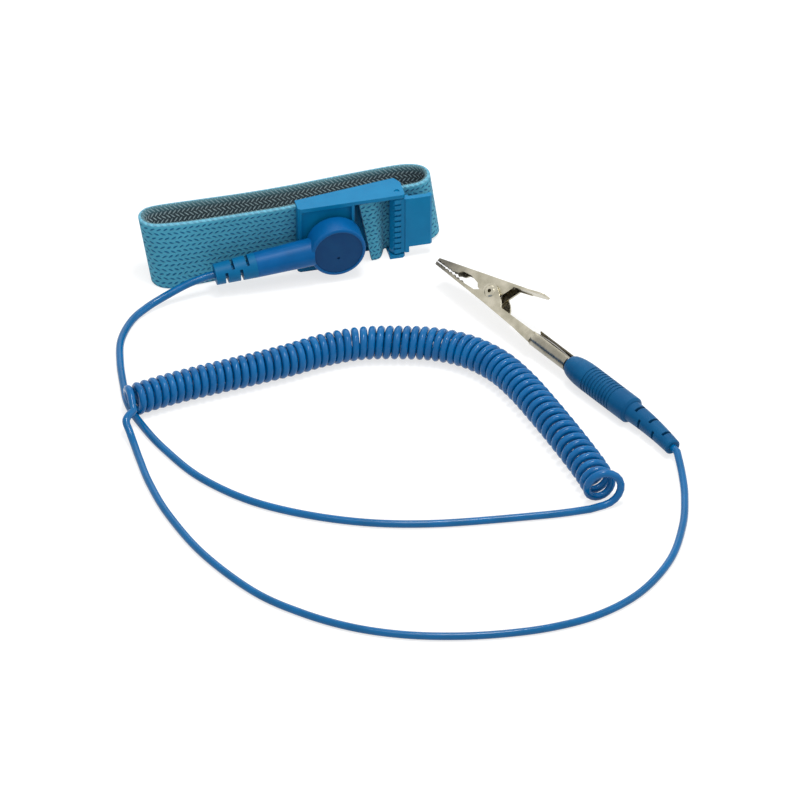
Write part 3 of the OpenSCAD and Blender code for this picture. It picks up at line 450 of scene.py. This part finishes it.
# the same in the buckle: a brighter blue towards cyan
buckleAbs = mouldedPlastic(
    "absMouldedBright", ("#0474A6", "#0A80B2"), (0.28, 0.4), (0.35, 0.012), 0.25, plasticGloss)
# carbon film resistor, dipped in lacquer: tan, with a soft shine
resistorLacquer = mouldedPlastic(
    "lacquerDipped", ("#C2A06A", "#CFB07E"), (0.3, 0.4), (0.3, 0.02), 0, {"IOR": 1.5})


def platedMetal(name, colours, roughness, grain, edge, stretch, wearAndPaintedShade=None):
    material, tree, shader = newMaterial(name, {"Metallic": 1.0})
    position = addNode(tree, "ShaderNodeTexCoord").outputs["Object"]
    colour = mottle(tree, position, colours, cloudSize["metal"], 0.4)
    # painted shade: the metal is darkened towards the clip's tip and towards its socket end
    if wearAndPaintedShade:
        along = addNode(tree, "ShaderNodeVectorMath", {0: position, 1: wearAndPaintedShade["way"]},
                        operation="DOT_PRODUCT").outputs["Value"]
        share = addNode(tree, "ShaderNodeMapRange", {
            "Value": along, "From Min": wearAndPaintedShade["start"] * mm, "From Max": wearAndPaintedShade["end"] * mm}).outputs["Result"]
        streaks = addNode(tree, "ShaderNodeTexNoise", {
            "Vector": position, "Scale": grainScale(wearAndPaintedShade["streak"]), "Detail": 3})
        broken = addNode(tree, "ShaderNodeMath", {0: streaks.outputs["Fac"], 1: wearAndPaintedShade["uneven"], 2: share},
                         operation="MULTIPLY_ADD").outputs[0]
        ramp = addNode(tree, "ShaderNodeValToRGB", {"Fac": broken})
        stops = ramp.color_ramp.elements
        for place, dark in wearAndPaintedShade["stops"][2:]:
            stops.new(place)
        for stop, (place, dark) in zip(stops, sorted(wearAndPaintedShade["stops"])):
            stop.position, stop.color = place, (dark, dark, dark, 1)
        colour = addNode(tree, "ShaderNodeMixRGB", {
            "Fac": ramp.outputs["Color"], "Color1": colour,
            "Color2": hexColour(wearAndPaintedShade["colour"])}).outputs["Color"]
    tree.links.new(colour, shader.inputs["Base Color"])
    mapped = addNode(tree, "ShaderNodeMapping", {"Vector": position, "Scale": stretch}).outputs["Vector"]
    roughen(tree, shader, mapped, roughness[0], roughness[1], grain[0], grain[1], edge)
    return material


clipWay = plugFrame.to_3x3() @ Vector((1, 0, 0))
# painted shade along the clip: dark at its tip and at its socket end
clipPaintedShade = {
    "way": tuple(clipWay),
    "start": 35.0, "end": 95.0,  # mm along the clip's own line, from its tip to its tail
    "stops": ((0.1, 0.8), (0.22, 0.2), (0.32, 0.0), (0.74, 0.0), (0.82, 0.5)),  # place, darkness
    "colour": "#4C4A47", "uneven": 0.08,
    "streak": 1.6,  # mm
}
# steel, stamped and nickel plated: warm grey, a slightly wavy mirror, with painted shade darkening it at its
# tip and socket
nickelSteel = platedMetal(
    "steelNickelPlated", ("#AAA592", "#CEC8B6"), (0.22, 0.36), (1.2, 0.05), 0.1, (1, 1, 1), clipPaintedShade)
# brass, turned and nickel plated: bright and nearly mirror smooth
nickelBrass = platedMetal(
    "brassNickelPlated", ("#B4ADA2", "#C4BEB4"), (0.16, 0.26), (0.8, 0.02), 0.06, (1, 1, 1))
# stainless steel, brushed along the strap: neutral grey, with its grain drawn out that way
brushedSteel = platedMetal(
    "stainlessBrushed", ("#B6B6B4", "#C3C3C1"), (0.25, 0.4), (0.35, 0.01), 0.08, (0.05, 1, 1))
# spring steel, drawn and bare: darker and duller than the plated parts
springSteel = platedMetal(
    "springSteelDrawn", ("#8C8984", "#A19E98"), (0.3, 0.42), (0.4, 0.01), 0, (1, 1, 1))
# brass, crimped and bare: yellow, with a slightly rough skin
bareBrass = platedMetal(
    "brassCrimped", ("#A9823F", "#BC9450"), (0.28, 0.4), (0.5, 0.02), 0.05, (1, 1, 1))


knitGrain = {"drift": 2.0, "fibre": 0.2, "patch": 8.33}  # mm: the rows wander, the yarn's fibres, wear


def knittedElastic(name, look):
    material, tree, shader = newMaterial(name, {
        "Roughness": 0.85, "IOR": 1.5, "Specular IOR Level": 0.2,
        "Sheen Weight": look["sheen"], "Sheen Roughness": 0.4})
    uv = addNode(tree, "ShaderNodeUVMap", uv_map="bandMillimetres").outputs["UV"]
    wander = addNode(tree, "ShaderNodeTexNoise", {
        "Vector": uv, "Scale": 1 / knitGrain["drift"], "Detail": 2})
    drift = addNode(tree, "ShaderNodeVectorMath", {
        0: wander.outputs["Color"], "Scale": look["wander"]}, operation="SCALE")
    loose = addNode(tree, "ShaderNodeVectorMath", {0: uv, 1: drift.outputs["Vector"]}, operation="ADD")
    parts = addNode(tree, "ShaderNodeSeparateXYZ", {"Vector": loose.outputs["Vector"]})
    # the stitches of each row slant against those of the next, as a herringbone
    rows = addNode(tree, "ShaderNodeMath", {0: parts.outputs["Y"], 1: look["row"]},
                   operation="DIVIDE").outputs[0]
    number = addNode(tree, "ShaderNodeMath", {0: rows}, operation="FLOOR").outputs[0]
    odd = addNode(tree, "ShaderNodeMath", {0: number, 1: 2}, operation="MODULO").outputs[0]
    side = addNode(tree, "ShaderNodeMath", {0: odd, 1: 2, 2: -1}, operation="MULTIPLY_ADD").outputs[0]
    inRow = addNode(tree, "ShaderNodeMath", {0: rows, 1: number}, operation="SUBTRACT").outputs[0]
    across = addNode(tree, "ShaderNodeMath", {0: inRow, 1: 0.5}, operation="SUBTRACT").outputs[0]
    lean = addNode(tree, "ShaderNodeMath", {0: across, 1: side}, operation="MULTIPLY").outputs[0]
    slanted = addNode(tree, "ShaderNodeMath", {0: lean, 1: look["slant"], 2: parts.outputs["X"]},
                      operation="MULTIPLY_ADD").outputs[0]
    staggered = addNode(tree, "ShaderNodeMath", {0: odd, 1: look["pitch"] / 2, 2: slanted},
                        operation="MULTIPLY_ADD").outputs[0]
    # PINGPONG runs from 0 in a gap to half the pitch in the middle of a stitch
    middle = addNode(tree, "ShaderNodeMath", {0: staggered, 1: look["pitch"] / 2},
                     operation="PINGPONG").outputs[0]
    alongStitch = addNode(tree, "ShaderNodeMapRange", {
        "Value": middle, "From Min": 0.0, "From Max": look["pitch"] / 2,
        "To Min": 2 / look["fill"], "To Max": 0.0})
    acrossStitch = addNode(tree, "ShaderNodeMath", {0: across, 1: 2 / look["reach"]}, operation="MULTIPLY")
    place = addNode(tree, "ShaderNodeCombineXYZ", {
        "X": alongStitch.outputs["Result"], "Y": acrossStitch.outputs[0]})
    away = addNode(tree, "ShaderNodeVectorMath", {0: place.outputs["Vector"]},
                   operation="LENGTH").outputs["Value"]
    stitch = addNode(tree, "ShaderNodeMapRange", {
        "Value": away, "From Min": 0.65, "From Max": 1.15, "To Min": 1.0, "To Max": 0.0},
        interpolation_type="SMOOTHSTEP")
    fibre = addNode(tree, "ShaderNodeTexNoise", {
        "Vector": uv, "Scale": 1 / knitGrain["fibre"], "Detail": 3, "Roughness": 0.7})
    ground = addNode(tree, "ShaderNodeMixRGB", {
        "Fac": stitch.outputs["Result"], "Color1": hexColour(look["gap"]), "Color2": hexColour(look["yarn"])})
    # the woven edges are plainer and paler than the middle
    flat = addNode(tree, "ShaderNodeSeparateXYZ", {"Vector": uv})
    fromEdge = addNode(tree, "ShaderNodeMath", {0: flat.outputs["Y"], 1: band["width"] / 2},
                       operation="PINGPONG")
    selvedge = addNode(tree, "ShaderNodeMapRange", {
        "Value": fromEdge.outputs[0], "From Min": look["edge"] * 0.6, "From Max": look["edge"] * 1.4,
        "To Min": look["edgeShare"], "To Max": 0.0})
    edged = addNode(tree, "ShaderNodeMixRGB", {
        "Fac": selvedge.outputs["Result"], "Color1": ground.outputs["Color"],
        "Color2": hexColour(look["edgeYarn"])})
    tone = addNode(tree, "ShaderNodeMapRange", {
        "Value": fibre.outputs["Fac"], "To Min": 0.72, "To Max": 1.28})
    wearAndPaintedShade = addNode(tree, "ShaderNodeTexNoise", {"Vector": uv, "Scale": 1 / knitGrain["patch"], "Detail": 2})
    patch = addNode(tree, "ShaderNodeMapRange", {
        "Value": wearAndPaintedShade.outputs["Fac"], "To Min": 0.86, "To Max": 1.14})
    both = addNode(tree, "ShaderNodeMath", {0: tone.outputs["Result"], 1: patch.outputs["Result"]},
                   operation="MULTIPLY")
    shade = addNode(tree, "ShaderNodeVectorMath", {0: edged.outputs["Color"], "Scale": both.outputs[0]},
                    operation="SCALE")
    tree.links.new(shade.outputs["Vector"], shader.inputs["Base Color"])
    stack = addNode(tree, "ShaderNodeMath", {0: fibre.outputs["Fac"], 1: 0.35, 2: stitch.outputs["Result"]},
                    operation="MULTIPLY_ADD")
    bump = addNode(tree, "ShaderNodeBump", {"Height": stack.outputs[0], "Distance": look["height"] * mm},
                   invert=look["pits"])
    tree.links.new(bump.outputs["Normal"], shader.inputs["Normal"])
    return material


# polyester and rubber elastic, knitted: soft matt ground with rows of small dark pits; sizes in mm
bandOutside = knittedElastic("elasticKnittedBlue", {
    "yarn": "#1A6890", "gap": "#4CA2BE", "edgeYarn": "#84C6DC", "row": 1.5, "pitch": 1.8, "slant": 1.6,
    "fill": 1.15, "reach": 0.6, "wander": 0.45, "edge": 0.4, "edgeShare": 0.6, "height": 0.2, "sheen": 0.15,
    "pits": True})
# silver-coated nylon plated over charcoal yarn, knitted: pale dashes on a dark ground
bandInside = knittedElastic("elasticKnittedSilver", {
    "yarn": "#B4CED4", "gap": "#44565E", "edgeYarn": "#5E9AA8", "row": 1.35, "pitch": 1.4, "slant": 1.2,
    "fill": 0.84, "reach": 1.05, "wander": 0.35, "edge": 1.6, "edgeShare": 0.4, "height": 0.28, "sheen": 0.1,
    "pits": False})
bandFabric.data.materials.append(bandOutside)
bandFabric.data.materials.append(bandInside)
for piece, jacket in ((cordToSnap, cordJacket), (cordCoil, coilJacketPaintedLight), (cordToClip, cordJacket)):
    piece.data.materials.append(jacket)
print("materials made")

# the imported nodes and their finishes
finishes = {
    "buckle_body": buckleAbs, "clamp_lever": buckleAbs,
    "lever_pivot_pin": buckleAbs, "skin_contact_plate": brushedSteel,
    "snap_stud": nickelBrass, "stud_rivet": nickelBrass, "snap_socket": nickelBrass,
    "banana_plug_pin": nickelBrass,
    "snap_head_housing": snapAbs, "snap_head_cover": coverAbsPaintedShade,
    "snap_spring_ring": springSteel, "banana_leaf_spring": springSteel, "jaw_spring": springSteel,
    "limiting_resistor": resistorLacquer, "resistor_crimp": bareBrass,
    "snap_cord_end": cordJacket, "plug_cord_end": cordJacket,
    "snap_strain_relief": snapVinyl, "plug_boot": bootVinyl,
    "lower_jaw": nickelSteel, "upper_jaw": nickelSteel, "jaw_pivot_rivet": nickelSteel,
}
for name, finish in finishes.items():
    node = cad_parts[name]
    node.data.materials.clear()
    node.data.materials.append(finish)

# who moves with what
for piece, node in ((cordToSnap, "cord_to_snap"), (cordCoil, "coiled_cord"), (cordToClip, "cord_to_clip")):
    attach(piece, "lead")
    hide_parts(node)
plugRelief.data.materials.append(bootVinyl)
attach(plugRelief, "lead")
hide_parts("clip_strain_relief")
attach(bandFabric, "wristband")
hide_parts("elastic_band")


# floor, light and background
studio = {
    "floorSize": 6.0,         # m
    "floorPlain": 0.8,        # how much light the floor throws back at the object
    "floorLit": 0.36,         # share of the floor's white that comes from the lamps
    "floorGlow": 0.72,        # and the share that the camera always sees
    "ambient": 0.45,
    "lamps": [                # place in m, side in m, power in W
        ((-0.15, -0.4, 1.1), 0.5, 2.8),
        ((0.1, -0.08, 1.0), 0.24, 4.6),
        ((0.8, -0.35, 0.6), 0.7, 1.6),
        ((0.1, 0.8, 0.7), 0.7, 1.8),
    ],
}


def seenRays(tree):
    rays = addNode(tree, "ShaderNodeLightPath")
    either = addNode(tree, "ShaderNodeMath", {
        0: rays.outputs["Is Camera Ray"], 1: rays.outputs["Is Glossy Ray"]}, operation="MAXIMUM")
    return addNode(tree, "ShaderNodeMath", {0: either.outputs[0], 1: rays.outputs["Is Transmission Ray"]},
                   operation="MAXIMUM").outputs[0]


def addStudio(spec):
    half = spec["floorSize"] / 2 / mm
    corners = [(-half, -half, 0), (half, -half, 0), (half, half, 0), (-half, half, 0)]
    floor = addMesh("floor", corners, [(0, 1, 2, 3)])
    material = bpy.data.materials.new("paperSweep")
    material.use_nodes = True
    tree = material.node_tree
    tree.nodes.clear()
    plain = addNode(tree, "ShaderNodeBsdfDiffuse", {"Color": (spec["floorPlain"],) * 3 + (1,)})
    seenPart = addNode(tree, "ShaderNodeBsdfDiffuse", {"Color": (spec["floorLit"],) * 3 + (1,)})
    glow = addNode(tree, "ShaderNodeEmission", {"Color": (1, 1, 1, 1), "Strength": spec["floorGlow"]})
    lit = addNode(tree, "ShaderNodeAddShader", {0: seenPart.outputs[0], 1: glow.outputs[0]})
    mixed = addNode(tree, "ShaderNodeMixShader", {0: seenRays(tree), 1: plain.outputs[0], 2: lit.outputs[0]})
    addNode(tree, "ShaderNodeOutputMaterial", {"Surface": mixed.outputs[0]})
    floor.data.materials.append(material)

    world = bpy.data.worlds.new("studio")
    scene.world = world
    world.use_nodes = True
    tree = world.node_tree
    tree.nodes.clear()
    dim = addNode(tree, "ShaderNodeBackground", {"Color": (1, 1, 1, 1), "Strength": spec["ambient"]})
    white = addNode(tree, "ShaderNodeBackground", {"Color": (1, 1, 1, 1), "Strength": 1.0})
    mixed = addNode(tree, "ShaderNodeMixShader", {0: seenRays(tree), 1: dim.outputs[0], 2: white.outputs[0]})
    addNode(tree, "ShaderNodeOutputWorld", {"Surface": mixed.outputs[0]})

    for number, (place, side, power) in enumerate(spec["lamps"]):
        data = bpy.data.lights.new(f"lamp{number}", "AREA")
        data.size, data.energy = side, power
        lamp = bpy.data.objects.new(data.name, data)
        lamp.location = place
        aim = Vector(camera["target"]) * mm - Vector(place)
        lamp.rotation_mode = "QUATERNION"
        lamp.rotation_quaternion = aim.to_track_quat("-Z", "Y")
        scene.collection.objects.link(lamp)


addStudio(studio)
scene.view_settings.view_transform = "Standard"
print("studio lit")

bpy.context.view_layer.update()
